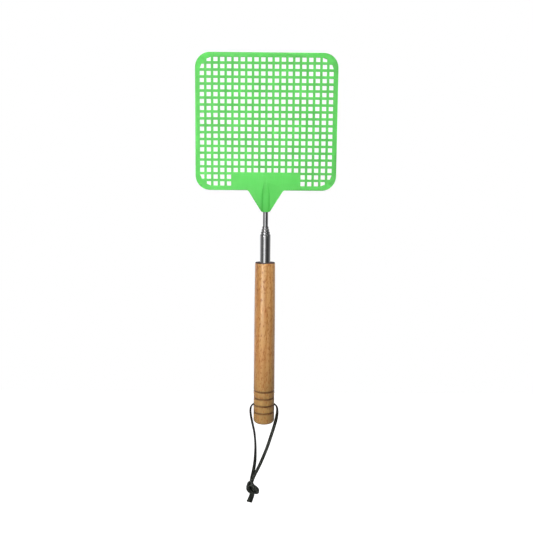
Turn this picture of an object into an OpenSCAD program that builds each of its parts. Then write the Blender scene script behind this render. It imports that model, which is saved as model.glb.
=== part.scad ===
// Telescopic fly swatter: a moulded mesh head on a five-section telescopic pole,
// a turned wooden handle and a leather hanging lace.
// +Z runs up the pole from the butt to the head, and the head lies in the XZ plane.
// The origin is the middle of the grip, on the pole's axis. The pole is pushed in.

/* [Handle] */
// Length of the wooden handle
handle_length = 151; // [126:1:182]
// Diameter of the handle at its top face
handle_top_d = 18.4; // [15.4:0.1:22.4]
// Diameter of the handle at the middle of the grip
handle_mid_d = 19.3; // [16:0.1:23.4]
// Diameter of the handle at the grooves and the butt
handle_butt_d = 19.4; // [16:0.1:23.4]
// Radius of the rounded butt edge
butt_radius = 3; // [1:0.1:5]
// Chamfer round the top face
top_chamfer = 0.3; // [0.1:0.1:0.8]
// Number of turned grooves near the butt
groove_count = 4; // [2:1:5]
// Height of the lowest groove above the butt
groove_start = 10.8; // [8:0.1:13]
// Distance from one groove to the next
groove_pitch = 6.85; // [5.6:0.05:8.3]
// Width of a groove at the surface
groove_width = 1.4; // [0.8:0.1:2]
// Depth of a groove
groove_depth = 0.7; // [0.3:0.05:1]
// Groove that the lace hole is drilled through, counted up from 0
lace_groove = 1; // [0:1:1]
// Diameter of the lace hole
lace_hole_d = 4; // [3.4:0.1:4.8]

/* [Top bush] */
// Thickness of the bush's flange
bush_flange = 0.5; // [0.4:0.1:1]
// Length of the bush's sleeve in the wood
bush_sleeve = 9; // [6:0.5:12]
// Wall of the bush's sleeve
bush_wall = 1.5; // [1:0.1:2]
// Step from the handle's edge in to the flange's edge
bush_inset = 0.3; // [0.2:0.1:1]

/* [Pole] */
// Diameter of the solid tip rod
tip_rod_d = 4.7; // [4:0.1:5.7]
// Wall of each tube
tube_wall = 0.4; // [0.3:0.02:0.5]
// Radial gap between a section and the bore round it
tube_gap = 0.2; // [0.16:0.02:0.26]
// Radial running clearance at the mouths and the friction shoes
run_fit = 0.05; // [0.03:0.01:0.08]
// Length of the outer tube that stands in the handle
tube_insert = 104; // [86:1:106]
// Length of the outer tube that shows above the handle
tube_show = 26; // [18:1:40]
// Height of each mouth above the mouth round it
mouth_step = 2.4; // [1.9:0.1:3]
// Length of the rolled-in lip at each mouth
lip_length = 1.5; // [1:0.1:1.8]
// Thickness of the rolled-in lip at its end
lip_edge = 0.25; // [0.15:0.05:0.3]
// Thickness of the plug in the outer tube's lower end
plug_length = 4.5; // [3:0.5:6]
// Clearance between two sections' ends when the pole is pushed in
end_gap = 0.3; // [0.2:0.05:0.5]
// Bare rod between the last mouth and the head when the pole is pushed in
rod_show = 13.1; // [8:0.1:20]
// Length of the rod inside the head
rod_socket = 20; // [14:0.5:22]
// Radial glue gap round the tube and the bush in the wood
glue_gap = 0.05; // [0.02:0.01:0.1]

/* [Friction shoes] */
// Length of a shoe
shoe_length = 8; // [5:0.5:10]
// Thickness of the foot below a shoe
foot_thickness = 1.2; // [0.8:0.1:1.6]
// Radial depth of the neck that the shoes sit in
neck_depth = 0.6; // [0.5:0.05:0.7]
// Slit between the front and the back shoe
shoe_slit = 0.8; // [0.4:0.1:1.2]
// End play of a shoe in its neck
shoe_play = 0.1; // [0.05:0.01:0.2]
// Way left between a shoe and the lip above it when a section is drawn out
stop_gap = 0.5; // [0.2:0.1:1]

/* [Head] */
// Columns of mesh cells
mesh_columns = 20; // [16:2:24]
// Rows of mesh cells
mesh_rows = 19; // [15:1:23]
// Distance between mesh cells
mesh_pitch = 6; // [5:0.1:7.2]
// Side of a square mesh hole
mesh_hole = 3.8; // [3.2:0.1:4.6]
// Width of the border outside the mesh holes
border = 4; // [3:0.1:5]
// Radius of the head's corners
corner_radius = 13; // [10:0.5:16]
// Thickness of the border, the panel and the neck
head_thickness = 2.4; // [2:0.1:3]
// Thickness of the mesh bars
bar_thickness = 1.8; // [1.4:0.1:2]
// Columns of cells that the solid panel takes up
panel_columns = 10; // [8:2:12]
// Rows of cells that the solid panel takes up
panel_rows = 2; // [2:1:4]
// Width of the neck where it meets the plate
neck_width = 31.8; // [26:0.1:38.4]
// Width of the neck at its lower end
neck_tip_width = 7.7; // [7:0.1:9.2]
// Height of the neck
neck_height = 19.4; // [16:0.1:23.4]
// Diameter of the socket boss
boss_d = 7.4; // [7:0.1:8.9]
// Length of the boss's straight part
boss_straight = 15.2; // [12:0.1:18]
// Length of the boss's pointed part
boss_point = 15.8; // [12:0.1:19]

/* [Lace] */
// Thickness of the lace's solid
lace_d = 2.4; // [2:0.1:2.8]
// Radius of the knot's lobes
knot_lobe = 2.6; // [2:0.1:3.2]
// Radius of the tails below the knot
tail_radius = 1.6; // [1.2:0.1:2]

/* [Hidden] */
$fn = 96;
over = 1;                      // how far a cutting shape runs past a face

// Heights in the handle
top_z = handle_length / 2;
butt_z = -handle_length / 2;
lace_z = butt_z + groove_start + lace_groove * groove_pitch;
grooves_top = butt_z + groove_start + (groove_count - 0.5) * groove_pitch;
tube_bottom = top_z - tube_insert;
plug_top = tube_bottom + plug_length;

// Pole sections are numbered from the outer tube, 0, to the tip rod, 4.
last = 4;
function section_r(k) = tip_rod_d / 2 + (last - k) * (tube_wall + tube_gap);
function bore_r(k) = section_r(k) - tube_wall;
function neck_r(k) = section_r(k) - neck_depth;
function mouth_z(k) = top_z + tube_show + k * mouth_step;
// One section's lower end, from its foot to the inside of its shoulder
end_height = foot_thickness + shoe_length + 2 * shoe_play + tube_wall;
function bottom_z(k) = plug_top + end_gap + (k - 1) * (end_height + end_gap);
function shoe_z(k) = bottom_z(k) + foot_thickness + shoe_play;
function shoe_r(k) = bore_r(k - 1) - run_fit;
function travel(k) = mouth_z(k - 1) - lip_length - shoe_z(k) - shoe_length - stop_gap;

// Radius of the bush's sleeve
sleeve_r = section_r(0) + glue_gap + bush_wall;

// Heights and sizes in the head
neck_z = mouth_z(last - 1) + rod_show;
plate_z = neck_z + neck_height;
plate_w = (mesh_columns - 1) * mesh_pitch + mesh_hole + 2 * border;
plate_h = (mesh_rows - 1) * mesh_pitch + mesh_hole + 2 * border;
bar = mesh_pitch - mesh_hole;
panel_w = panel_columns * mesh_pitch + bar;
panel_h = border + panel_rows * mesh_pitch;
first_cell_x = -(mesh_columns - 1) / 2 * mesh_pitch;
first_cell_z = plate_z + border + mesh_hole / 2;

// The lace's route down each side, from the middle of the lace hole to the knot
left_route = [
    [0, 0, 0.6], [-3.5, 0, 0.6], [-7, 0, 0.5], [-10, 0, -0.3], [-12, 0, -2.6],
    [-12.6, 0, -6], [-12.3, 0, -10.5], [-11.3, 0, -16], [-10, 0, -22], [-8.8, 0.1, -28],
    [-8.1, 0.3, -34.5], [-7.8, 0.5, -41], [-7.9, 0.7, -47.5], [-8.3, 0.8, -54],
    [-9.1, 0.9, -60.5], [-10.2, 0.9, -67], [-11.3, 0.9, -73], [-12, 0.8, -79]
];
right_route = [
    [0, 0, 0.6], [3.5, 0, 0.6], [7, 0, 0.5], [10, 0, -0.3], [12, 0, -2.6],
    [12.6, 0, -6.3], [12.2, 0, -11.5], [11.1, 0, -17], [9.5, 0, -23], [7.7, -0.1, -29],
    [5.8, -0.2, -35.5], [3.8, -0.3, -42], [1.5, -0.5, -48.5], [-1, -0.6, -55],
    [-3.9, -0.8, -61.5], [-7, -0.9, -67.5], [-9.6, -0.9, -73], [-11.4, -0.8, -78.5]
];
// Middles of the knot's lobes, and the tails' ends
knot_lobes = [[-12.4, 0, -78.6], [-8.8, 0, -81], [-6.8, 0, -85.5], [-11.2, 0, -87.4], [-13.6, 0, -83.4]];
knot_depth = 1.6;
tail_ends = [[-11.4, 0, -86], [-12.7, 0, -94.6]];

// Points of the handle's outline from the butt up, at the butt's radius
butt_arc = [
    for (a = [-90:15:0])
        [handle_butt_d / 2 + butt_radius * (cos(a) - 1), butt_z + butt_radius * (sin(a) + 1)]
];
groove_points = [
    for (i = [0:groove_count - 1], side = [-1:1])
        [handle_butt_d / 2 - (side == 0 ? groove_depth : 0),
         butt_z + groove_start + i * groove_pitch + side * groove_width / 2]
];
grip_steps = 8;
grip_points = [
    for (i = [0:grip_steps])
        let (u = i / grip_steps)
        [handle_mid_d / 2 + (handle_top_d - handle_mid_d) / 2 * u * u, u * (top_z - top_chamfer)]
];

// A straight round bar or hole on the pole's axis
module axis_cylinder(r, z, h) {
    translate([0, 0, z])
        cylinder(r = r, h = h);
}

module wooden_handle() {
    color("#c89256")
    difference() {
        rotate_extrude()
            polygon(concat(
                [[0, butt_z]],
                butt_arc,
                groove_points,
                [[handle_butt_d / 2, grooves_top]],
                grip_points,
                [[handle_top_d / 2 - top_chamfer, top_z], [0, top_z]]
            ));
        axis_cylinder(section_r(0) + glue_gap, tube_bottom, tube_insert + over);
        axis_cylinder(sleeve_r + glue_gap, top_z - bush_sleeve - glue_gap, bush_sleeve + over);
        translate([0, 0, lace_z])
            rotate([0, 90, 0])
                cylinder(d = lace_hole_d, h = handle_butt_d + 2 * over, center = true);
    }
}

module handle_top_bush() {
    color("#4a3433")
    difference() {
        union() {
            axis_cylinder(handle_top_d / 2 - bush_inset, top_z, bush_flange);
            axis_cylinder(sleeve_r, top_z - bush_sleeve, bush_sleeve + bush_flange);
        }
        translate([0, 0, -over])
            axis_cylinder(section_r(0) + glue_gap, top_z - bush_sleeve, bush_sleeve + bush_flange + 2 * over);
    }
}

// Outline of a mouth, rolled in until it guides the next section
function mouth_points(k) = [
    [section_r(k), mouth_z(k) - lip_length],
    [section_r(k + 1) + run_fit + lip_edge, mouth_z(k)],
    [section_r(k + 1) + run_fit, mouth_z(k)],
    [bore_r(k), mouth_z(k) - lip_length]
];

module outer_tube() {
    color("#b8babc")
    rotate_extrude()
        polygon(concat([[bore_r(0), tube_bottom], [section_r(0), tube_bottom]], mouth_points(0)));
}

module outer_tube_plug() {
    color("#3a3a3c")
    axis_cylinder(bore_r(0), tube_bottom, plug_length);
}

// A section's lower end from its foot up to its shoulder
function end_points(k) = [
    [section_r(k), bottom_z(k)],
    [section_r(k), bottom_z(k) + foot_thickness],
    [neck_r(k), bottom_z(k) + foot_thickness],
    [neck_r(k), bottom_z(k) + end_height - tube_wall],
    [section_r(k), bottom_z(k) + end_height - tube_wall]
];

// A tube that slides in the one round it, with a necked lower end for its shoes
module sliding_tube(k) {
    color("#b8babc")
    rotate_extrude()
        polygon(concat(
            [[neck_r(k) - tube_wall, bottom_z(k)]],
            end_points(k),
            mouth_points(k),
            [
                [bore_r(k), bottom_z(k) + end_height],
                [neck_r(k) - tube_wall, bottom_z(k) + end_height]
            ]
        ));
}

// Half of the split sleeve that grips the bore round section k; side is -1 front, 1 back
module shoe(k, side) {
    inner = neck_r(k) + run_fit;
    color("#c8a24a")
    difference() {
        axis_cylinder(shoe_r(k), shoe_z(k), shoe_length);
        axis_cylinder(inner, shoe_z(k) - over, shoe_length + 2 * over);
        translate([-shoe_r(k) - over, side < 0 ? -shoe_slit / 2 : -shoe_r(k) - over, shoe_z(k) - over])
            cube([2 * (shoe_r(k) + over), shoe_r(k) + over + shoe_slit / 2, shoe_length + 2 * over]);
    }
}

module tip_rod() {
    rod_top = neck_z + rod_socket;
    color("#b8babc")
    rotate_extrude()
        polygon(concat(
            [[0, bottom_z(last)]],
            end_points(last),
            [[section_r(last), rod_top], [0, rod_top]]
        ));
}

// A plate with rounded corners in the XZ plane, its lower edge at z, centred on Y
module rounded_plate(w, h, r, thickness, z) {
    translate([0, thickness / 2, z])
        rotate([90, 0, 0])
            union() {
                translate([-w / 2, r, 0])
                    cube([w, h - 2 * r, thickness]);
                translate([-w / 2 + r, 0, 0])
                    cube([w - 2 * r, h, thickness]);
                for (x = [-w / 2 + r, w / 2 - r], y = [r, h - r])
                    translate([x, y, 0])
                        cylinder(r = r, h = thickness);
            }
}

// A cell that the panel or a closed corner takes up
function cell_closed(i, j) =
    (j < panel_rows && abs(i - (mesh_columns - 1) / 2) < panel_columns / 2)
    || ((i == 0 || i == mesh_columns - 1) && (j == 0 || j == mesh_rows - 1));

module mesh_holes() {
    for (i = [0:mesh_columns - 1], j = [0:mesh_rows - 1])
        if (!cell_closed(i, j))
            translate([first_cell_x + i * mesh_pitch, 0, first_cell_z + j * mesh_pitch])
                cube([mesh_hole, head_thickness + over, mesh_hole], center = true);
}

module neck() {
    translate([0, head_thickness / 2, 0])
        rotate([90, 0, 0])
            linear_extrude(head_thickness)
                polygon([
                    [-neck_tip_width / 2, neck_z],
                    [neck_tip_width / 2, neck_z],
                    [neck_width / 2, plate_z],
                    [neck_width / 2, plate_z + border],
                    [-neck_width / 2, plate_z + border],
                    [-neck_width / 2, plate_z]
                ]);
}

module boss() {
    point_steps = 8;
    point_power = 1.8;
    rotate_extrude()
        polygon(concat(
            [[0, neck_z], [boss_d / 2, neck_z]],
            [
                for (i = [0:point_steps])
                    let (t = i / point_steps)
                    [boss_d / 2 * (1 - pow(t, point_power)), neck_z + boss_straight + t * boss_point]
            ]
        ));
}

module swatter_head() {
    window_w = plate_w - 2 * border;
    window_h = plate_h - 2 * border;
    window_r = corner_radius - border;
    color("#6bd96b")
    difference() {
        union() {
            rounded_plate(plate_w, plate_h, corner_radius, bar_thickness, plate_z);
            difference() {
                rounded_plate(plate_w, plate_h, corner_radius, head_thickness, plate_z);
                rounded_plate(window_w, window_h, window_r, head_thickness + over, plate_z + border);
            }
            translate([-panel_w / 2, -head_thickness / 2, plate_z])
                cube([panel_w, head_thickness, panel_h]);
            neck();
            boss();
        }
        mesh_holes();
        axis_cylinder(tip_rod_d / 2, neck_z - over, rod_socket + over);
    }
}

function unit(v) = v / norm(v);
// Direction of a route at point i
function heading(route, i) =
    unit(route[min(i + 1, len(route) - 1)] - route[max(i - 1, 0)]);

// A round cord swept along a route, one ring of sides at each point
module cord(route, d, sides = 8) {
    rings = [
        for (i = [0:len(route) - 1])
            let (
                along = heading(route, i),
                across = unit(cross([0, 1, 0], along)),
                up = cross(along, across)
            )
            for (s = [0:sides - 1])
                route[i] + d / 2 * (cos(360 * s / sides) * across + sin(360 * s / sides) * up)
    ];
    walls = [
        for (i = [0:len(route) - 2], s = [0:sides - 1])
            let (a = i * sides + s, b = i * sides + (s + 1) % sides)
            [a, a + sides, b + sides, b]
    ];
    first_cap = [for (s = [0:sides - 1]) s];
    last_cap = [for (s = [sides - 1:-1:0]) (len(route) - 1) * sides + s];
    polyhedron(points = rings, faces = concat([first_cap], walls, [last_cap]));
}

module lanyard_left_strand() {
    color("#1d1917")
    translate([0, 0, lace_z])
        cord(left_route, lace_d);
}

module lanyard_right_strand() {
    color("#1d1917")
    translate([0, 0, lace_z])
        cord(right_route, lace_d);
}

module lanyard_knot() {
    knot_fn = 20;
    color("#1d1917")
    translate([0, 0, lace_z])
        union() {
            hull()
                for (p = knot_lobes, y = [-knot_depth, knot_depth])
                    translate(p + [0, y, 0])
                        sphere(r = knot_lobe, $fn = knot_fn);
            hull()
                for (p = tail_ends)
                    translate(p)
                        sphere(r = tail_radius, $fn = knot_fn);
        }
}

wooden_handle();
handle_top_bush();
outer_tube();
outer_tube_plug();
sliding_tube(1);  // second_tube
shoe(1, -1);  // second_tube_front_shoe
shoe(1, 1);  // second_tube_back_shoe
sliding_tube(2);  // third_tube
shoe(2, -1);  // third_tube_front_shoe
shoe(2, 1);  // third_tube_back_shoe
sliding_tube(3);  // fourth_tube
shoe(3, -1);  // fourth_tube_front_shoe
shoe(3, 1);  // fourth_tube_back_shoe
shoe(last, -1);  // rod_front_shoe
shoe(last, 1);  // rod_back_shoe
tip_rod();
swatter_head();
lanyard_left_strand();
lanyard_right_strand();
lanyard_knot();
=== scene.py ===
import math

import bpy
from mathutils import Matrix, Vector
from mathutils.geometry import interpolate_bezier


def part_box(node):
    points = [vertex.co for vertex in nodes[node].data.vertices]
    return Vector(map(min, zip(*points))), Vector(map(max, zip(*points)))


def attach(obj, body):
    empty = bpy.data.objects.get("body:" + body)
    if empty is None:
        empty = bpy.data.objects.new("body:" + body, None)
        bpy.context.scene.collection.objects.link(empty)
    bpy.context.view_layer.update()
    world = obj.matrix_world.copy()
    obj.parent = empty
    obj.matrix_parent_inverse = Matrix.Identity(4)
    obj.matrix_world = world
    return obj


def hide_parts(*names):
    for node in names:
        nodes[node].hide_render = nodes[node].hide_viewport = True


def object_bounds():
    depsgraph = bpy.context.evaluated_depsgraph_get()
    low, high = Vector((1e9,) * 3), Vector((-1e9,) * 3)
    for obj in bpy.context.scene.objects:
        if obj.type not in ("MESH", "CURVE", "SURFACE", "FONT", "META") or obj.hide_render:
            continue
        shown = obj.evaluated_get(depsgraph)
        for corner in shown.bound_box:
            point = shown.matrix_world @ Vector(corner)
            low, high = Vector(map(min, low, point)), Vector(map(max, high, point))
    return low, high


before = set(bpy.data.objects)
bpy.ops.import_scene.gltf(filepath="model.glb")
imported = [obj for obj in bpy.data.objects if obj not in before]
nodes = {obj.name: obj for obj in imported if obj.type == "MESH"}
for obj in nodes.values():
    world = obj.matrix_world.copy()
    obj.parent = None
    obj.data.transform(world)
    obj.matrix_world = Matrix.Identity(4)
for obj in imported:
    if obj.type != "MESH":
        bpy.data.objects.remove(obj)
cadLow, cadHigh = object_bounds()
mm = 0.001

handleLow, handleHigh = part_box("wooden_handle")
headLow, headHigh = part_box("swatter_head")
buttZ = handleLow.z
tiny = 0.01 * mm              # as good as touching


def onlySelect(piece):
    bpy.ops.object.select_all(action="DESELECT")
    piece.select_set(True)
    bpy.context.view_layer.objects.active = piece


def edit(mode):
    bpy.ops.object.mode_set(mode=mode)


def pick(piece, kind, test):
    # selects the vertices, edges or faces whose middle passes the test, and stays in edit mode
    edit("EDIT")
    bpy.ops.mesh.select_mode(type=kind)
    bpy.ops.mesh.select_all(action="DESELECT")
    edit("OBJECT")
    mesh = piece.data
    if kind == "VERT":
        for v in mesh.vertices:
            v.select = test(v.co)
    elif kind == "EDGE":
        for e in mesh.edges:
            a, b = (mesh.vertices[i].co for i in e.vertices)
            e.select = test((a + b) / 2)
    else:
        for f in mesh.polygons:
            f.select = test(f.center)
    edit("EDIT")


def pickAll(kind):
    bpy.ops.mesh.select_mode(type=kind)
    bpy.ops.mesh.select_all(action="SELECT")


def bakeTransform():
    bpy.ops.object.transform_apply(location=True, rotation=True, scale=True)


def addModifier(piece, kind, **settings):
    onlySelect(piece)
    m = piece.modifiers.new(kind.title(), kind)
    for name, value in settings.items():
        setattr(m, name, value)
    bpy.ops.object.modifier_apply(modifier=m.name)


def cutOrJoin(piece, tool, operation):
    addModifier(piece, "BOOLEAN", operation=operation, object=tool, solver="EXACT")
    bpy.data.objects.remove(tool)


camera = {
    "back": 575 * mm,        # in front of the pole's axis
    "right": 0.65 * mm,
    "up": 146.9 * mm,        # above the middle of the grip
    "down": 7.4,             # degrees it looks down
    "roll": -0.5,
    "lens": 42.9,
}


def makeCamera():
    c = camera
    bpy.ops.object.camera_add(location=(c["right"], -c["back"], c["up"]))
    cam = bpy.context.active_object
    cam.name = "frontCamera"
    cam.rotation_euler = (math.radians(90 - c["down"]), math.radians(c["roll"]), 0)
    cam.data.sensor_width = 36
    cam.data.lens = c["lens"]
    bpy.context.scene.camera = cam


makeCamera()
print("camera ready")


lace = {
    "holeAboveButt": 17.65 * mm,
    "width": 3 * mm,
    "thick": 1.5 * mm,
    "edge": 0.35 * mm,       # rounding of the cut edges
    "cutFrom": 0.8,          # part of the half width past which a face belongs to a cut edge
    "steps": 5,              # along the lace, from one point to the next
    "smooth": 40,
    "left": [
        (0, 0, 0.6), (-3.5, 0, 0.6), (-7, 0, 0.5), (-10, 0, -0.3), (-12, 0, -2.6),
        (-12.6, 0, -6), (-12.3, 0, -10.5), (-11.3, 0, -16), (-10, 0, -22), (-8.8, 0.1, -28),
        (-8.1, 0.3, -34.5), (-7.7, 0.5, -41), (-7.7, 0.7, -47.5), (-7.9, 0.8, -54),
        (-8.5, 0.9, -60.5), (-9.6, 0.9, -67), (-10.9, 0.9, -73), (-11.9, 0.8, -79),
    ],
    # how far each stretch is turned from edge-on towards flat-on, in degrees
    "leftTurn": [12, 12, 12, 12, 12, 12, 12, 12, 12, 12, 12, 16, 26, 42, 62, 78, 82, 80],
    "right": [
        (0, 0, 0.6), (3.5, 0, 0.6), (7, 0, 0.5), (10, 0, -0.3), (12, 0, -2.6),
        (12.6, 0, -6.3), (12.2, 0, -11.5), (11.1, 0, -17), (9.5, 0, -23), (7.7, -0.1, -29),
        (5.7, -0.2, -35.5), (3.6, -0.3, -42), (1.2, -0.5, -48.5), (-1.4, -0.6, -55),
        (-4.2, -0.8, -61.5), (-7.1, -0.9, -67.5), (-9.6, -0.9, -73), (-11.3, -0.8, -78.5),
    ],
    "rightTurn": [-10, -10, -10, -10, -14, -22, -40, -58, -63, -64, -66, -74, -84, -88, -84, -74, -68, -70],
}
laceZ = buttZ + lace["holeAboveButt"]


def atLaceHole(point):
    x, y, z = point
    return Vector((x * mm, y * mm, laceZ + z * mm))


def laceOutline(plies=1):
    # the lace's cut section, flat strips with eased edges lying on each other, drawn flat
    w, t, r = lace["width"] / 2, lace["thick"] / 2, lace["edge"]
    data = bpy.data.curves.new("laceOutline", "CURVE")
    data.dimensions = "2D"
    middles = [(2 * ply + 1 - plies) * t for ply in range(plies)]
    points = []
    for up in (1, -1):
        for middle in middles[::-up]:
            for side, start in ((1, 0), (-1, 90)):
                for step in (0, 30, 60, 90):
                    a = math.radians(start + step)
                    x = middle + up * (side * (t - r) + r * math.cos(a))
                    points.append((x, up * (w - r + r * math.sin(a))))
    strip = data.splines.new("POLY")
    strip.points.add(len(points) - 1)
    for p, (x, y) in zip(strip.points, points):
        p.co = (x, y, 0, 1)
    strip.use_cyclic_u = True
    outline = bpy.data.objects.new("laceOutline", data)
    bpy.context.scene.collection.objects.link(outline)
    return outline


def sweepLace(name, points, turns, outline):
    # one strip of lace through the points, edge-on to the front where its turn is 0;
    # it is swept lying down so that the curve's own up is the way to the front
    data = bpy.data.curves.new(name, "CURVE")
    data.dimensions = "3D"
    data.resolution_u = lace["steps"]
    data.twist_mode = "Z_UP"
    line = data.splines.new("BEZIER")
    line.bezier_points.add(len(points) - 1)
    for bp, p, turn in zip(line.bezier_points, points, turns):
        bp.co = (p.x, p.z, -p.y)
        bp.handle_left_type = bp.handle_right_type = "AUTO"
        bp.tilt = math.radians(turn)
    data.bevel_mode = "OBJECT"
    data.bevel_object = outline
    data.use_fill_caps = True
    piece = bpy.data.objects.new(name, data)
    bpy.context.scene.collection.objects.link(piece)
    bpy.context.view_layer.update()
    middle = []
    for a, b in zip(line.bezier_points[:-1], line.bezier_points[1:]):
        middle += interpolate_bezier(a.co, a.handle_right, b.handle_left, b.co, lace["steps"] + 1)[:-1]
    middle.append(line.bezier_points[-1].co)
    middle = [Vector((p.x, -p.z, p.y)) for p in middle]
    onlySelect(piece)
    bpy.ops.object.convert(target="MESH")
    piece = bpy.context.active_object
    piece.rotation_euler = (math.pi / 2, 0, 0)
    bakeTransform()
    weld(piece)
    return piece, middle


def weld(piece):
    onlySelect(piece)
    edit("EDIT")
    pickAll("VERT")
    bpy.ops.mesh.remove_doubles(threshold=tiny)
    bpy.ops.mesh.normals_make_consistent(inside=False)
    edit("OBJECT")


def runLength(points):
    return sum((b - a).length for a, b in zip(points[:-1], points[1:]))


def markCutEdges(piece, line):
    # the lace's cut edges get the second material slot; they lie furthest from its middle line
    onlySelect(piece)
    for _ in range(2):
        piece.data.materials.append(None)
    farOut = lace["width"] / 2 * lace["cutFrom"]
    pick(piece, "FACE", lambda p: min((p - q).length for q in line) > farOut)
    piece.active_material_index = 1
    bpy.ops.object.material_slot_assign()
    edit("OBJECT")


laceStrip = laceOutline()
leftStrand, leftLine = sweepLace(
    "lanyardLeft", [atLaceHole(p) for p in lace["left"]], lace["leftTurn"], laceStrip)
rightStrand, rightLine = sweepLace(
    "lanyardRight", [atLaceHole(p) for p in lace["right"]], lace["rightTurn"], laceStrip)
for strand, line in ((leftStrand, leftLine), (rightStrand, rightLine)):
    markCutEdges(strand, line)
    bpy.ops.object.shade_smooth_by_angle(angle=math.radians(lace["smooth"]))
print("lace strands", round(runLength(leftLine), 4), round(runLength(rightLine), 4))


knot = {
    "middle": (-10.2, 0, -83.2),     # from the lace hole
    # the doubled lace, from where both strands come in to where both tails leave
    "wrap": [
        (-0.6, -0.3, 8.8), (-0.7, -1.6, 5.6), (0.2, -2.4, 3.2), (2.7, -2.4, 1), (4.7, -1.4, -1.8),
        (4, 0.8, -4.9), (1.6, 2.1, -4.6), (-0.8, 2.4, -1.8), (-3.2, 1.9, 1.2), (-2.8, 0.6, 4.4),
        (-3.7, -1.4, 3.4), (-4.5, -1.9, 0.4), (-3, -1.4, -2.6), (-0.6, -1.2, -5), (0.2, 0, -7.6),
    ],
    "wrapTurn": [80, 85, 95, 105, 100, 80, 90, 90, 80, 60, 80, 90, 80, 75, 70],
    # the stretch of doubled lace inside the knot
    "core": [(-1.8, 0.6, 4), (0.4, 0.2, 1.6), (1.6, 0, -1.4), (0.8, -0.2, -4.6)],
    "coreTurn": [50, 45, 45, 50],
    "tails": [
        [(-0.8, -0.6, -5), (-1.9, -0.8, -8.4), (-3.1, -1, -11.2), (-4.2, -1, -13.6)],
        [(0.6, 0.8, -5), (0.1, 0.9, -8.6), (-0.8, 1, -11.8), (-2, 1, -15.2)],
    ],
    "tailTurns": [[75, 75, 70, 70], [75, 80, 80, 80]],
}


def inKnot(point):
    return atLaceHole(point) + Vector(knot["middle"]) * mm


def makeKnot():
    doubled = laceOutline(2)
    wrap, _ = sweepLace("lanyardKnot", [inKnot(p) for p in knot["wrap"]], knot["wrapTurn"], doubled)
    core, _ = sweepLace("core", [inKnot(p) for p in knot["core"]], knot["coreTurn"], doubled)
    parts = [wrap, core]
    for tail, turn in zip(knot["tails"], knot["tailTurns"]):
        parts.append(sweepLace("tail", [inKnot(p) for p in tail], turn, laceStrip)[0])
    bpy.data.objects.remove(doubled)
    bpy.ops.object.select_all(action="DESELECT")
    for part in parts:
        part.select_set(True)
    bpy.context.view_layer.objects.active = wrap
    bpy.ops.object.join()
    bpy.ops.object.shade_smooth_by_angle(angle=math.radians(lace["smooth"]))
    return wrap


knotPiece = makeKnot()
bpy.data.objects.remove(laceStrip)

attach(leftStrand, "lanyard")
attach(rightStrand, "lanyard")
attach(knotPiece, "lanyard")
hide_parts("lanyard_left_strand")
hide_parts("lanyard_right_strand")
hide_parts("lanyard_knot")
print("knot ready")


head = {
    "columns": 20,
    "rows": 19,
    "pitch": 6 * mm,
    "hole": 3.8 * mm,
    "border": 4 * mm,
    "cornerR": 13 * mm,
    "innerCornerR": 11.7 * mm,   # the border is thicker at its corners
    "barThick": 1.8 * mm,
    "borderThick": 2.4 * mm,
    "rounding": 0.72 * mm,       # of the bars' edges
    "smooth": 50,
    "dimpleIn": 1 * mm,
    "dimpleDeep": 0.7 * mm,
    "panelColumns": 10,
    "panelRows": 2,
    "neckWidth": 31.8 * mm,
    "neckTip": 7.7 * mm,
    "neckHeight": 19.4 * mm,
    "neckEase": 1.6 * mm,        # where the neck meets the plate
    "tipEase": 1 * mm,           # and at its lower end
    "bossLip": 0.2 * mm,         # how far the boss comes out below the neck
    "bossEase": 0.9 * mm,
    "bossR": 3.7 * mm,
    "bossStraight": 15.2 * mm,
    "bossPoint": 15.8 * mm,
    "pointSteps": 7,
    "pointSwell": 1.8,           # the higher, the fuller the point
    "pointBlunt": 0.15,          # part of a step that is left off its end
    "socketR": 2.38 * mm,
    "socketDeep": 20 * mm,
}


def holeLines(count, first):
    # both edges of every hole along one direction
    lines = []
    for i in range(count):
        middle = first + i * head["pitch"]
        lines += [middle - head["hole"] / 2, middle + head["hole"] / 2]
    return lines


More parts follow.
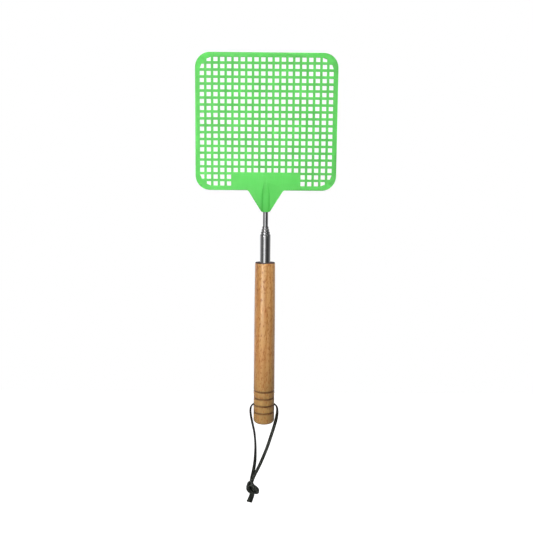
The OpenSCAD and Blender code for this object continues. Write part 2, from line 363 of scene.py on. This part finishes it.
def makeHead():
    h = head
    plateZ = headLow.z + h["neckHeight"]
    width = headHigh.x - headLow.x
    height = headHigh.z - plateZ
    firstX = headLow.x + h["border"] + h["hole"] / 2
    firstZ = plateZ + h["border"] + h["hole"] / 2

    def cell(p):
        # column and row of the cell a point is in, or None where there is no cell
        i, j = round((p.x - firstX) / h["pitch"]), round((p.z - firstZ) / h["pitch"])
        inside = (abs(p.x - firstX - i * h["pitch"]) < h["hole"] / 2
                  and abs(p.z - firstZ - j * h["pitch"]) < h["hole"] / 2)
        if inside and 0 <= i < h["columns"] and 0 <= j < h["rows"]:
            return i, j
        return None

    panelX = h["panelColumns"] * h["pitch"] / 2 + (h["pitch"] - h["hole"]) / 2
    panelTop = plateZ + h["border"] + h["panelRows"] * h["pitch"]

    def inPanel(p):
        return abs(p.x) < panelX - tiny and p.z < panelTop - tiny

    def inCorner(p):
        at = cell(p)
        return at is not None and at[0] in (0, h["columns"] - 1) and at[1] in (0, h["rows"] - 1)

    bpy.ops.object.select_all(action="DESELECT")
    bpy.ops.mesh.primitive_plane_add(size=1, location=(0, 0, plateZ + height / 2),
                                     rotation=(math.pi / 2, 0, 0))
    piece = bpy.context.active_object
    piece.name = piece.data.name = "meshHead"
    piece.scale = (width, height, 1)
    bakeTransform()
    edit("EDIT")
    pickAll("VERT")
    bpy.ops.mesh.bevel(offset=h["cornerR"], offset_type="OFFSET", segments=12, affect="VERTICES")
    for x in holeLines(h["columns"], firstX):
        pickAll("FACE")
        bpy.ops.mesh.bisect(plane_co=(x, 0, 0), plane_no=(1, 0, 0))
    for z in holeLines(h["rows"], firstZ):
        pickAll("FACE")
        bpy.ops.mesh.bisect(plane_co=(0, 0, z), plane_no=(0, 0, 1))
    # the neck grows out of the bottom edge
    for side in (-1, 1):
        pick(piece, "FACE", lambda p: inPanel(p) and p.z < plateZ + h["border"])
        bpy.ops.mesh.bisect(plane_co=(side * h["neckWidth"] / 2, 0, 0), plane_no=(1, 0, 0))
    pick(piece, "EDGE", lambda p: p.z < plateZ + tiny and abs(p.x) < h["neckWidth"] / 2)
    tipZ = headLow.z + h["bossLip"]
    bpy.ops.mesh.extrude_edges_move(TRANSFORM_OT_translate={"value": (0, 0, tipZ - plateZ)})
    narrow = h["neckTip"] / h["neckWidth"]
    bpy.ops.transform.resize(value=(narrow, 1, 1), center_override=(0, 0, tipZ))
    pick(piece, "FACE", inPanel)
    bpy.ops.mesh.dissolve_faces()
    # eased corners where the neck meets the plate and at its tip
    pick(piece, "VERT", lambda p: abs(p.z - plateZ) < tiny and abs(abs(p.x) - h["neckWidth"] / 2) < tiny)
    bpy.ops.mesh.bevel(offset=h["neckEase"], offset_type="OFFSET", segments=4, affect="VERTICES")
    pick(piece, "VERT", lambda p: p.z < tipZ + tiny and abs(abs(p.x) - h["neckTip"] / 2) < tiny)
    bpy.ops.mesh.bevel(offset=h["tipEase"], offset_type="OFFSET", segments=3, affect="VERTICES")
    # the round inner corner clips the two cells beside each corner cell
    clip = h["innerCornerR"] - math.sqrt(h["innerCornerR"] ** 2 - (h["innerCornerR"] - h["pitch"]) ** 2)
    inX = width / 2 - h["border"]
    inZ = (plateZ + h["border"], headHigh.z - h["border"])
    for sx in (-1, 1):
        for sz in (0, 1):
            up = 1 if sz else -1
            beside, under = sx * (inX - h["pitch"]), inZ[sz] - up * h["pitch"]
            pick(piece, "VERT", lambda p: abs(p.x - sx * inX) < tiny and abs(p.z - under) < tiny)
            bpy.ops.transform.translate(value=(-sx * clip, 0, 0))
            pick(piece, "VERT", lambda p: abs(p.z - inZ[sz]) < tiny and abs(p.x - beside) < tiny)
            bpy.ops.transform.translate(value=(0, 0, -up * clip))
    pick(piece, "FACE", lambda p: cell(p) is not None and not inPanel(p) and not inCorner(p))
    bpy.ops.mesh.delete(type="FACE")
    edit("OBJECT")
    print("mesh head cut", len(piece.data.polygons))

    addModifier(piece, "SOLIDIFY", thickness=h["barThick"], offset=0)
    addModifier(piece, "BEVEL", width=h["rounding"], segments=2, limit_method="ANGLE",
                angle_limit=math.radians(40), use_clamp_overlap=True)
    edit("EDIT")
    pickAll("VERT")
    bpy.ops.mesh.remove_doubles(threshold=tiny / 2)
    bpy.ops.mesh.dissolve_degenerate(threshold=tiny / 2)
    edit("OBJECT")
    # border, panel, neck and closed corners stand a little proud of the bars on both faces
    skin = h["barThick"] / 2 - tiny
    proud = (h["borderThick"] - h["barThick"]) / 2

    def thicker(p):
        return abs(p.x) > inX or p.z > inZ[1] or p.z < inZ[0] or inPanel(p) or inCorner(p)

    for face in (-1, 1):
        pick(piece, "FACE", lambda p: p.y * face > skin and thicker(p))
        bpy.ops.transform.translate(value=(0, face * proud, 0))
    # a shallow dimple is all that is left of each closed corner cell
    pick(piece, "FACE", lambda p: p.y < -skin and inCorner(p))
    bpy.ops.mesh.inset(thickness=h["dimpleIn"], use_even_offset=False)
    bpy.ops.transform.translate(value=(0, h["dimpleDeep"], 0))
    edit("OBJECT")
    print("mesh head thick", len(piece.data.polygons))

    # socket boss: a straight barrel drawn out to a point
    steps = h["pointSteps"]
    stepUp = h["bossPoint"] / steps
    bpy.ops.object.select_all(action="DESELECT")
    bpy.ops.mesh.primitive_cylinder_add(vertices=40, radius=h["bossR"], depth=h["bossStraight"],
                                        location=(0, 0, headLow.z + h["bossStraight"] / 2))
    boss = bpy.context.active_object
    bakeTransform()
    top = headLow.z + h["bossStraight"]
    pick(boss, "FACE", lambda p: p.z > top - tiny)
    for i in range(steps):
        here, there = (1 - ((i + k) / (steps + h["pointBlunt"])) ** h["pointSwell"] for k in (0, 1))
        bpy.ops.mesh.extrude_region_move(TRANSFORM_OT_translate={"value": (0, 0, stepUp)})
        top += stepUp
        bpy.ops.transform.resize(value=(there / here, there / here, 1), center_override=(0, 0, top))
    pick(boss, "EDGE", lambda p: p.z < headLow.z + tiny and p.xy.length > h["bossR"] * 0.9)
    bpy.ops.mesh.bevel(offset=h["bossEase"], segments=3)
    edit("OBJECT")
    cutOrJoin(piece, boss, "UNION")
    bpy.ops.object.select_all(action="DESELECT")
    bpy.ops.mesh.primitive_cylinder_add(vertices=32, radius=h["socketR"], depth=2 * h["socketDeep"],
                                        location=(0, 0, headLow.z))
    drill = bpy.context.active_object
    bakeTransform()
    cutOrJoin(piece, drill, "DIFFERENCE")
    onlySelect(piece)
    bpy.ops.object.shade_smooth_by_angle(angle=math.radians(h["smooth"]))
    print("mesh head done", len(piece.data.polygons))
    return piece


meshHead = makeHead()
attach(meshHead, "head")
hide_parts("swatter_head")


pole = {
    "sides": 48,
    "wall": 0.4 * mm,
    "lip": 1.5 * mm,           # height of the rolled-in mouth
    "lipSteps": 5,
    "runFit": 0.05 * mm,
    "lipEdge": 0.12 * mm,      # rounding of the mouth's own rim
    "bead": 0.9 * mm,          # height of the mouth's rounded part
    "rimInside": 0.6 * mm,     # height of the straight part inside the rim
    "groove": 0.04 * mm,       # the roller leaves a fine groove under the mouth
    "grooveFrom": -0.35 * mm,  # its lower edge, middle and upper edge, from the foot of the mouth
    "grooveAt": -0.1 * mm,
    "grooveTo": 0.15 * mm,
    "smooth": 35,
    "neckDeep": 0.6 * mm,      # the lower end is necked down for its shoes
    "foot": 1.2 * mm,
    "endHeight": 9.8 * mm,
    "names": ["outer_tube", "second_tube", "third_tube", "fourth_tube"],
    "bodies": ["handle", "second_section", "third_section", "fourth_section"],
}


def turnOnAxis(name, outline, sides):
    # a ring pulled through every point (radius, height) of the outline and closed on itself
    bpy.ops.object.select_all(action="DESELECT")
    firstR, firstZ = outline[0]
    bpy.ops.mesh.primitive_circle_add(vertices=sides, radius=firstR, location=(0, 0, firstZ))
    piece = bpy.context.active_object
    piece.name = piece.data.name = name
    bakeTransform()
    edit("EDIT")
    pickAll("EDGE")
    for (r, z), (nextR, nextZ) in zip(outline, outline[1:] + outline[:1]):
        bpy.ops.mesh.extrude_edges_move(TRANSFORM_OT_translate={"value": (0, 0, nextZ - z)})
        bpy.ops.transform.resize(value=(nextR / r, nextR / r, 1), center_override=(0, 0, nextZ))
    edit("OBJECT")
    weld(piece)
    bpy.ops.object.shade_smooth_by_angle(angle=math.radians(pole["smooth"]))
    return piece


def mouthOutline(outside, nextR, top):
    # full width, a fine groove, a rounded bead down to the rim, and back inside
    p = pole
    rim = nextR + p["runFit"] + 2 * p["lipEdge"]
    low = top - p["lip"]
    points = [(outside, low + p["grooveFrom"]), (outside - p["groove"], low + p["grooveAt"]),
              (outside, low + p["grooveTo"])]
    for i in range(p["lipSteps"] + 1):
        a = math.radians(90 * i / p["lipSteps"])
        points.append((rim + (outside - rim) * math.cos(a), top - p["bead"] + p["bead"] * math.sin(a)))
    inner = nextR + p["runFit"]
    points += [(inner, top - p["lipEdge"]), (inner, top - p["rimInside"]), (outside - p["wall"], low)]
    return points


def makeTube(k):
    p = pole
    low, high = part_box(p["names"][k])
    outside = high.x
    nextName = (p["names"] + ["tip_rod"])[k + 1]
    mouth = mouthOutline(outside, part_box(nextName)[1].x, high.z)
    if k == 0:
        outline = [(outside - p["wall"], low.z), (outside, low.z)] + mouth
    else:
        neck = outside - p["neckDeep"]
        shoulder = low.z + p["endHeight"]
        outline = [(neck - p["wall"], low.z), (outside, low.z), (outside, low.z + p["foot"]),
                   (neck, low.z + p["foot"]), (neck, shoulder - p["wall"]), (outside, shoulder - p["wall"])]
        outline += mouth + [(outside - p["wall"], shoulder), (neck - p["wall"], shoulder)]
    tube = turnOnAxis(p["names"][k].replace("_t", "T"), outline, p["sides"])
    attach(tube, p["bodies"][k])
    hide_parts(p["names"][k])
    return tube


tubes = [makeTube(k) for k in range(4)]
print("tubes ready")


def tint(r, g, b):
    # a colour picked on screen, as the shader wants it
    def linear(v):
        v /= 255
        return v / 12.92 if v < 0.04045 else ((v + 0.055) / 1.055) ** 2.4
    return linear(r), linear(g), linear(b), 1


def put(tree, socket, value):
    if isinstance(value, bpy.types.NodeSocket):
        tree.links.new(value, socket)
    else:
        socket.default_value = value


def sums(tree, operation, *values):
    node = tree.nodes.new("ShaderNodeMath")
    node.operation = operation
    for socket, value in zip(node.inputs, values):
        put(tree, socket, value)
    return node.outputs["Value"]


def between(tree, value, low, high, toLow=0.0, toHigh=1.0):
    node = tree.nodes.new("ShaderNodeMapRange")
    node.interpolation_type = "SMOOTHSTEP"
    for socket, v in zip(node.inputs, (value, low, high, toLow, toHigh)):
        put(tree, socket, v)
    return node.outputs["Result"]


def stretched(tree, vector, x, y, z):
    node = tree.nodes.new("ShaderNodeVectorMath")
    node.operation = "MULTIPLY"
    put(tree, node.inputs[0], vector)
    node.inputs[1].default_value = (x, y, z)
    return node.outputs["Vector"]


def split(tree, vector):
    node = tree.nodes.new("ShaderNodeSeparateXYZ")
    put(tree, node.inputs[0], vector)
    return node.outputs["X"], node.outputs["Y"], node.outputs["Z"]


def noise(tree, vector, scale, detail=2.0, roughness=0.5, distortion=0.0):
    node = tree.nodes.new("ShaderNodeTexNoise")
    for name, value in (("Vector", vector), ("Scale", scale), ("Detail", detail),
                        ("Roughness", roughness), ("Distortion", distortion)):
        put(tree, node.inputs[name], value)
    return node.outputs["Fac"]


def blend(tree, factor, first, second):
    node = tree.nodes.new("ShaderNodeMix")
    node.data_type = "RGBA"
    put(tree, node.inputs["Factor"], factor)
    put(tree, node.inputs[6], first)
    put(tree, node.inputs[7], second)
    return node.outputs[2]


def bump(tree, height, distance):
    node = tree.nodes.new("ShaderNodeBump")
    put(tree, node.inputs["Distance"], distance)
    put(tree, node.inputs["Height"], height)
    return node.outputs["Normal"]


def ownCoords(tree):
    return tree.nodes.new("ShaderNodeTexCoord").outputs["Object"]


def newMaterial(name, **values):
    # a Principled material with its plain values set on the shader's own sockets
    m = bpy.data.materials.new(name)
    m.use_nodes = True
    shader = m.node_tree.nodes["Principled BSDF"]
    for socket, value in values.items():
        shader.inputs[socket.replace("_", " ")].default_value = value
    return m, m.node_tree, shader


def newGroup(name, inputs, outputs):
    tree = bpy.data.node_groups.new(name, "ShaderNodeTree")
    for label, kind, value in inputs:
        socket = tree.interface.new_socket(label, in_out="INPUT", socket_type="NodeSocket" + kind)
        if value is not None:
            socket.default_value = value
    for label, kind in outputs:
        tree.interface.new_socket(label, in_out="OUTPUT", socket_type="NodeSocket" + kind)
    return tree, tree.nodes.new("NodeGroupInput").outputs, tree.nodes.new("NodeGroupOutput").inputs


def useGroup(tree, group, **values):
    node = tree.nodes.new("ShaderNodeGroup")
    node.node_tree = group
    for name, value in values.items():
        put(tree, node.inputs[name], value)
    return node.outputs


def makeScuffs():
    # fine hairlines running up the piece, gathered in patches
    tree, given, made = newGroup("scuffs", [("Vector", "Vector", None), ("Scale", "Float", 1.0),
                                            ("Amount", "Float", 0.5)], [("Mask", "Float")])
    drawn = stretched(tree, given["Vector"], 1, 1, 0.06)
    lines = noise(tree, drawn, sums(tree, "MULTIPLY", given["Scale"], 2600), 3, 0.6, 0.4)
    lines = between(tree, lines, 0.6, 0.68)
    patches = noise(tree, given["Vector"], sums(tree, "MULTIPLY", given["Scale"], 110), 2, 0.6)
    patches = between(tree, patches, 0.42, 0.66)
    gathered = sums(tree, "MULTIPLY", lines, patches)
    tree.links.new(sums(tree, "MULTIPLY", gathered, given["Amount"]), made["Mask"])
    return tree


def makeMottle():
    # slow unevenness of a finish, between a low and a high value
    tree, given, made = newGroup(
        "mottle", [("Vector", "Vector", None), ("Scale", "Float", 100.0), ("Low", "Float", 0.3),
                   ("High", "Float", 0.5)], [("Value", "Float")])
    cloud = noise(tree, given["Vector"], given["Scale"], 4, 0.6)
    tree.links.new(between(tree, cloud, 0.3, 0.7, given["Low"], given["High"]), made["Value"])
    return tree


def makeFineGrain():
    # a very fine dimpled skin
    tree, given, made = newGroup("fineGrain", [("Vector", "Vector", None), ("Scale", "Float", 2000.0),
                                               ("Depth", "Float", 0.00002)], [("Normal", "Vector")])
    height = noise(tree, given["Vector"], given["Scale"], 2, 0.5)
    tree.links.new(bump(tree, height, given["Depth"]), made["Normal"])
    return tree


scuffs, mottle, fineGrain = makeScuffs(), makeMottle(), makeFineGrain()


wood = {
    "pale": tint(225, 172, 104),
    "warm": tint(198, 124, 62),
    "fleck": tint(178, 96, 40),
    "olive": tint(186, 145, 78),
    # cut colours the pores, and also the painted shade round the grooves
    "cut": tint(112, 70, 36),
    "ring": 3.4 * mm,
    "heart": (11 * mm, 7 * mm),   # where the rings have their middle
    "grooveStart": 10.8 * mm,
    "groovePitch": 6.85 * mm,
    "grooveCount": 4,
    "grooveReach": 1.5 * mm,
    "grooveLift": 0.2 * mm,       # the painted groove shade sits a little above the groove's middle
    "relief": 0.04 * mm,
}


def makeWood():
    m, tree, shader = newMaterial("lacqueredWood", Coat_IOR=1.62, Specular_IOR_Level=0.3)
    own = ownCoords(tree)
    x, y, z = split(tree, own)
    wander = noise(tree, stretched(tree, own, 1, 1, 0.12), 190, 3, 0.55)
    # growth rings round an off-centre heart, seen as long streaks on the turned face
    dx = sums(tree, "SUBTRACT", x, wood["heart"][0])
    dy = sums(tree, "SUBTRACT", y, wood["heart"][1])
    squares = sums(tree, "ADD", sums(tree, "MULTIPLY", dx, dx), sums(tree, "MULTIPLY", dy, dy))
    away = sums(tree, "SQRT", squares)
    phase = sums(tree, "ADD", sums(tree, "DIVIDE", away, wood["ring"]), sums(tree, "MULTIPLY", wander, 1.7))
    late = between(tree, sums(tree, "PINGPONG", phase, 0.5), 0.12, 0.5)
    colour = blend(tree, sums(tree, "MULTIPLY", late, 0.6), wood["pale"], wood["warm"])
    # the lower half is a yellower piece of the plank
    low = between(tree, sums(tree, "ADD", z, sums(tree, "MULTIPLY", wander, 30 * mm)), 8 * mm, -42 * mm)
    colour = blend(tree, sums(tree, "MULTIPLY", low, 0.75), colour, wood["olive"])
    # short flecks of ray and pore, longer than wide
    rays = noise(tree, stretched(tree, own, 1, 1, 0.4), 800, 3, 0.55, 0.3)
    colour = blend(tree, sums(tree, "MULTIPLY", between(tree, rays, 0.5, 0.66), 0.75), colour, wood["fleck"])
    pores = noise(tree, stretched(tree, own, 1, 1, 0.08), 3200, 2, 0.5)
    pores = between(tree, pores, 0.6, 0.72)
    colour = blend(tree, sums(tree, "MULTIPLY", pores, 0.14), colour, wood["cut"])
    # painted shade darkens a band round each groove, and the coat is duller there
    pitch = wood["groovePitch"]
    along = sums(tree, "SUBTRACT", z, buttZ + wood["grooveStart"] + wood["grooveLift"] - pitch / 2)
    beside = sums(tree, "ABSOLUTE", sums(tree, "SUBTRACT", sums(tree, "MODULO", along, pitch), pitch / 2))
    near = between(tree, beside, wood["grooveReach"], wood["grooveReach"] * 0.35)
    ends = sums(tree, "MULTIPLY", sums(tree, "GREATER_THAN", along, 0.0),
                sums(tree, "LESS_THAN", along, wood["grooveCount"] * pitch))
    groove = sums(tree, "MULTIPLY", sums(tree, "MULTIPLY", near, ends), 0.72)
    colour = blend(tree, groove, colour, wood["cut"])
    rub = useGroup(tree, scuffs, Vector=own, Scale=0.6, Amount=0.35)["Mask"]
    colour = blend(tree, sums(tree, "MULTIPLY", rub, 0.3), colour, wood["pale"])
    tree.links.new(colour, shader.inputs["Base Color"])
    rough = useGroup(tree, mottle, Vector=own, Scale=260.0, Low=0.36, High=0.52)["Value"]
    tree.links.new(rough, shader.inputs["Roughness"])
    coat = useGroup(tree, mottle, Vector=own, Scale=420.0, Low=0.1, High=0.22)["Value"]
    coat = sums(tree, "ADD", coat, sums(tree, "MULTIPLY", rub, 0.25))
    coat = sums(tree, "ADD", coat, sums(tree, "MULTIPLY", groove, 0.6))
    tree.links.new(coat, shader.inputs["Coat Roughness"])
    tree.links.new(sums(tree, "SUBTRACT", 1.0, groove), shader.inputs["Coat Weight"])
    height = sums(tree, "SUBTRACT", sums(tree, "MULTIPLY", rays, 0.6), sums(tree, "MULTIPLY", pores, 0.8))
    tree.links.new(bump(tree, height, wood["relief"]), shader.inputs["Normal"])
    slow = noise(tree, stretched(tree, own, 1, 1, 0.25), 520, 3, 0.6)
    tree.links.new(bump(tree, slow, wood["relief"]), shader.inputs["Coat Normal"])
    return m


def makeSteel(name, mouth):
    # each section is painted darker round the top of its rolled mouth, as painted shade where the next
    # section comes out
    m, tree, shader = newMaterial(name, Metallic=1.0)
    own = ownCoords(tree)
    _, _, z = split(tree, own)
    # ring is the painted shade at the mouth's rim
    ring = sums(tree, "MULTIPLY", between(tree, z, mouth - 0.75 * mm, mouth - 0.15 * mm), 0.85)
    dull = useGroup(tree, mottle, Vector=own, Scale=300.0, Low=0.0, High=1.0)["Value"]
    colour = blend(tree, dull, tint(196, 196, 199), tint(208, 208, 209))
    tree.links.new(blend(tree, ring, colour, tint(70, 68, 66)), shader.inputs["Base Color"])
    lines = noise(tree, stretched(tree, own, 1, 1, 0.02), 6000, 2, 0.5)
    rub = useGroup(tree, scuffs, Vector=own, Scale=1.2, Amount=0.5)["Mask"]
    rough = sums(tree, "ADD", sums(tree, "MULTIPLY", dull, 0.05), sums(tree, "MULTIPLY", rub, 0.12))
    tree.links.new(sums(tree, "ADD", rough, 0.07), shader.inputs["Roughness"])
    tree.links.new(bump(tree, lines, 0.004 * mm), shader.inputs["Normal"])
    return m


def makeBrass():
    m, tree, shader = newMaterial("rolledBrass", Metallic=1.0)
    own = ownCoords(tree)
    tarnish = useGroup(tree, mottle, Vector=own, Scale=500.0, Low=0.0, High=1.0)["Value"]
    tree.links.new(blend(tree, tarnish, tint(206, 172, 96), tint(170, 132, 66)), shader.inputs["Base Color"])
    rub = useGroup(tree, scuffs, Vector=own, Scale=1.0, Amount=1.0)["Mask"]
    rough = sums(tree, "ADD", sums(tree, "MULTIPLY", tarnish, 0.18), sums(tree, "MULTIPLY", rub, 0.1))
    tree.links.new(sums(tree, "ADD", rough, 0.2), shader.inputs["Roughness"])
    return m


def makeGreen():
    m, tree, shader = newMaterial("greenPlastic", IOR=1.5, Specular_IOR_Level=0.5, Subsurface_Weight=0.12,
                                  Subsurface_Scale=0.0012, Subsurface_Radius=(0.4, 1.0, 0.4))
    own = ownCoords(tree)
    cloud = useGroup(tree, mottle, Vector=own, Scale=45.0, Low=0.0, High=1.0)["Value"]
    colour = blend(tree, cloud, tint(92, 210, 89), tint(99, 215, 96))
    # painted shade: the flanks of the bars and edges, turned away from the front and back, are painted a
    # deeper, duller green
    _, facing, _ = split(tree, tree.nodes.new("ShaderNodeTexCoord").outputs["Normal"])
    paintedFlankShade = between(tree, sums(tree, "ABSOLUTE", facing), 0.9, 0.35)
    colour = blend(tree, sums(tree, "MULTIPLY", paintedFlankShade, 0.85), colour, tint(30, 190, 28))
    rub = useGroup(tree, scuffs, Vector=own, Scale=0.5, Amount=0.5)["Mask"]
    colour = blend(tree, sums(tree, "MULTIPLY", rub, 0.3), colour, tint(150, 232, 150))
    tree.links.new(colour, shader.inputs["Base Color"])
    rough = useGroup(tree, mottle, Vector=own, Scale=160.0, Low=0.3, High=0.42)["Value"]
    tree.links.new(sums(tree, "ADD", rough, sums(tree, "MULTIPLY", rub, 0.15)), shader.inputs["Roughness"])
    skin = useGroup(tree, fineGrain, Vector=own, Scale=1500.0, Depth=0.000005)["Normal"]
    tree.links.new(skin, shader.inputs["Normal"])
    return m


def makeBushPlastic():
    m, tree, shader = newMaterial("bushPlastic", IOR=1.48, Specular_IOR_Level=0.12)
    own = ownCoords(tree)
    fade = useGroup(tree, mottle, Vector=own, Scale=350.0, Low=0.0, High=1.0)["Value"]
    tree.links.new(blend(tree, fade, tint(56, 38, 40), tint(72, 50, 52)), shader.inputs["Base Color"])
    rub = useGroup(tree, scuffs, Vector=own, Scale=1.0, Amount=0.8)["Mask"]
    tree.links.new(sums(tree, "ADD", sums(tree, "MULTIPLY", rub, 0.2), 0.6), shader.inputs["Roughness"])
    skin = useGroup(tree, fineGrain, Vector=own, Scale=2600.0, Depth=0.00001)["Normal"]
    tree.links.new(skin, shader.inputs["Normal"])
    return m


def makePlugPlastic():
    m, tree, shader = newMaterial("plugPlastic", IOR=1.48)
    own = ownCoords(tree)
    fade = useGroup(tree, mottle, Vector=own, Scale=420.0, Low=0.0, High=1.0)["Value"]
    tree.links.new(blend(tree, fade, tint(26, 26, 27), tint(38, 38, 40)), shader.inputs["Base Color"])
    rough = useGroup(tree, mottle, Vector=own, Scale=700.0, Low=0.45, High=0.6)["Value"]
    tree.links.new(rough, shader.inputs["Roughness"])
    skin = useGroup(tree, fineGrain, Vector=own, Scale=2200.0, Depth=0.00002)["Normal"]
    tree.links.new(skin, shader.inputs["Normal"])
    return m


def makeLeather(name, deep, worn):
    m, tree, shader = newMaterial(name, IOR=1.45, Specular_IOR_Level=0.5, Sheen_Weight=0.05)
    own = ownCoords(tree)
    patches = useGroup(tree, mottle, Vector=own, Scale=900.0, Low=0.0, High=1.0)["Value"]
    colour = blend(tree, patches, deep, worn)
    rub = useGroup(tree, scuffs, Vector=own, Scale=1.4, Amount=0.8)["Mask"]
    colour = blend(tree, sums(tree, "MULTIPLY", rub, 0.5), colour, tint(74, 64, 54))
    tree.links.new(colour, shader.inputs["Base Color"])
    rough = useGroup(tree, mottle, Vector=own, Scale=1300.0, Low=0.38, High=0.62)["Value"]
    tree.links.new(rough, shader.inputs["Roughness"])
    skin = useGroup(tree, fineGrain, Vector=own, Scale=2600.0, Depth=0.00003)["Normal"]
    tree.links.new(skin, shader.inputs["Normal"])
    return m


def paint(piece, material):
    piece.data.materials.clear()
    piece.data.materials.append(material)


brass, green = makeBrass(), makeGreen()
# one leather, waxed on its faces and bare on its cut edges
leather = makeLeather("waxedLeather", tint(29, 30, 26), tint(54, 60, 50))
cutLeather = makeLeather("cutLeather", tint(20, 14, 13), tint(34, 26, 24))
looks = {
    "wooden_handle": makeWood(),
    "handle_top_bush": makeBushPlastic(),
    "outer_tube_plug": makePlugPlastic(),
    "swatter_head": green,
}
for name in pole["names"] + ["tip_rod"]:
    looks[name] = makeSteel(name.split("_")[0] + "Steel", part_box(name)[1].z)
for name, piece in nodes.items():
    look = looks.get(name)
    if look is None:
        look = brass if "shoe" in name else leather
    paint(piece, look)
paint(meshHead, green)
for tube, name in zip(tubes, pole["names"]):
    paint(tube, looks[name])
paint(knotPiece, leather)
for strand in (leftStrand, rightStrand):
    for slot, look in zip(strand.material_slots, (leather, cutLeather)):
        slot.material = look
print("materials ready")


stage = {
    "floorSize": 3,
    "floorBelow": 0.4,       # under the lowest piece
    # the room's light by direction, in degrees round from the front
    "room": ((-180, 0.95), (-144, 0.75), (-108, 0.38), (-79, 0.13), (-50, 0.2), (-36, 0.26), (8, 0.2),
             (22, 0.12), (43, 0.06), (68, 0.06), (97, 0.19), (125, 0.36), (150, 0.7), (180, 0.95)),
    "above": 0.35,           # and from overhead
}


def makeStage():
    bpy.ops.object.select_all(action="DESELECT")
    bpy.ops.mesh.primitive_plane_add(size=stage["floorSize"], location=(0, 0, cadLow.z - stage["floorBelow"]))
    floor = bpy.context.active_object
    floor.name = "paleFloor"
    m, tree, shader = newMaterial("paleFloor", Base_Color=(0.62, 0.62, 0.62, 1), Roughness=0.9)
    shader.inputs["Emission Color"].default_value = (1, 1, 1, 1)
    seen = tree.nodes.new("ShaderNodeLightPath").outputs["Is Camera Ray"]
    tree.links.new(seen, shader.inputs["Emission Strength"])
    paint(floor, m)


def makeWorld():
    # light behind the piece, darker to the front and sides, soft above
    world = bpy.data.worlds.new("studio")
    bpy.context.scene.world = world
    world.use_nodes = True
    tree = world.node_tree
    x, y, z = split(tree, tree.nodes.new("ShaderNodeTexCoord").outputs["Generated"])
    turn = sums(tree, "DIVIDE", sums(tree, "ARCTAN2", x, sums(tree, "MULTIPLY", y, -1)), 2 * math.pi)
    ramp = tree.nodes.new("ShaderNodeValToRGB")
    ramp.color_ramp.interpolation = "EASE"
    stops = ramp.color_ramp.elements
    for k, (degrees, level) in enumerate(stage["room"]):
        if k < 2:
            stop = stops[k]
            stop.position = degrees / 360 + 0.5
        else:
            stop = stops.new(degrees / 360 + 0.5)
        stop.color = (level, level, level, 1)
    tree.links.new(sums(tree, "ADD", turn, 0.5), ramp.inputs[0])
    above = between(tree, z, 0.3, 0.75)
    colour = blend(tree, above, ramp.outputs["Color"], (stage["above"],) * 3 + (1,))
    seen = tree.nodes.new("ShaderNodeLightPath").outputs["Is Camera Ray"]
    colour = blend(tree, seen, colour, (1, 1, 1, 1))
    tree.links.new(colour, tree.nodes["Background"].inputs["Color"])
    bpy.context.scene.view_settings.view_transform = "Standard"


def areaLight(name, place, aim, size, power, spread=180):
    bpy.ops.object.light_add(type="AREA", location=place)
    light = bpy.context.active_object
    light.name = name
    light.data.shape = "RECTANGLE"
    light.data.size, light.data.size_y = size
    light.data.energy = power
    light.data.spread = math.radians(spread)
    light.rotation_euler = (Vector(aim) - Vector(place)).to_track_quat("-Z", "Y").to_euler()
    light.visible_camera = False


makeStage()
makeWorld()
areaLight("frontStrip", (-0.29, -0.96, 0.35), (0, 0, 0.35), (0.66, 1.1), 2.3)
areaLight("headKey", (0.6, -0.6, 0.95), (0, 0, 0.28), (0.3, 0.3), 0.31, 18)
areaLight("gripFill", (-0.65, -0.75, 0.5), (0, 0, -0.06), (0.4, 0.4), 0.2, 22)
areaLight("softFill", (-0.55, -0.75, 0.85), (0, 0, 0), (0.6, 0.6), 1.5)
areaLight("edgeCard", (-0.515, -0.857, -0.11), (0, 0, 0.02), (0.07, 0.17), 0.5)
print("stage ready")
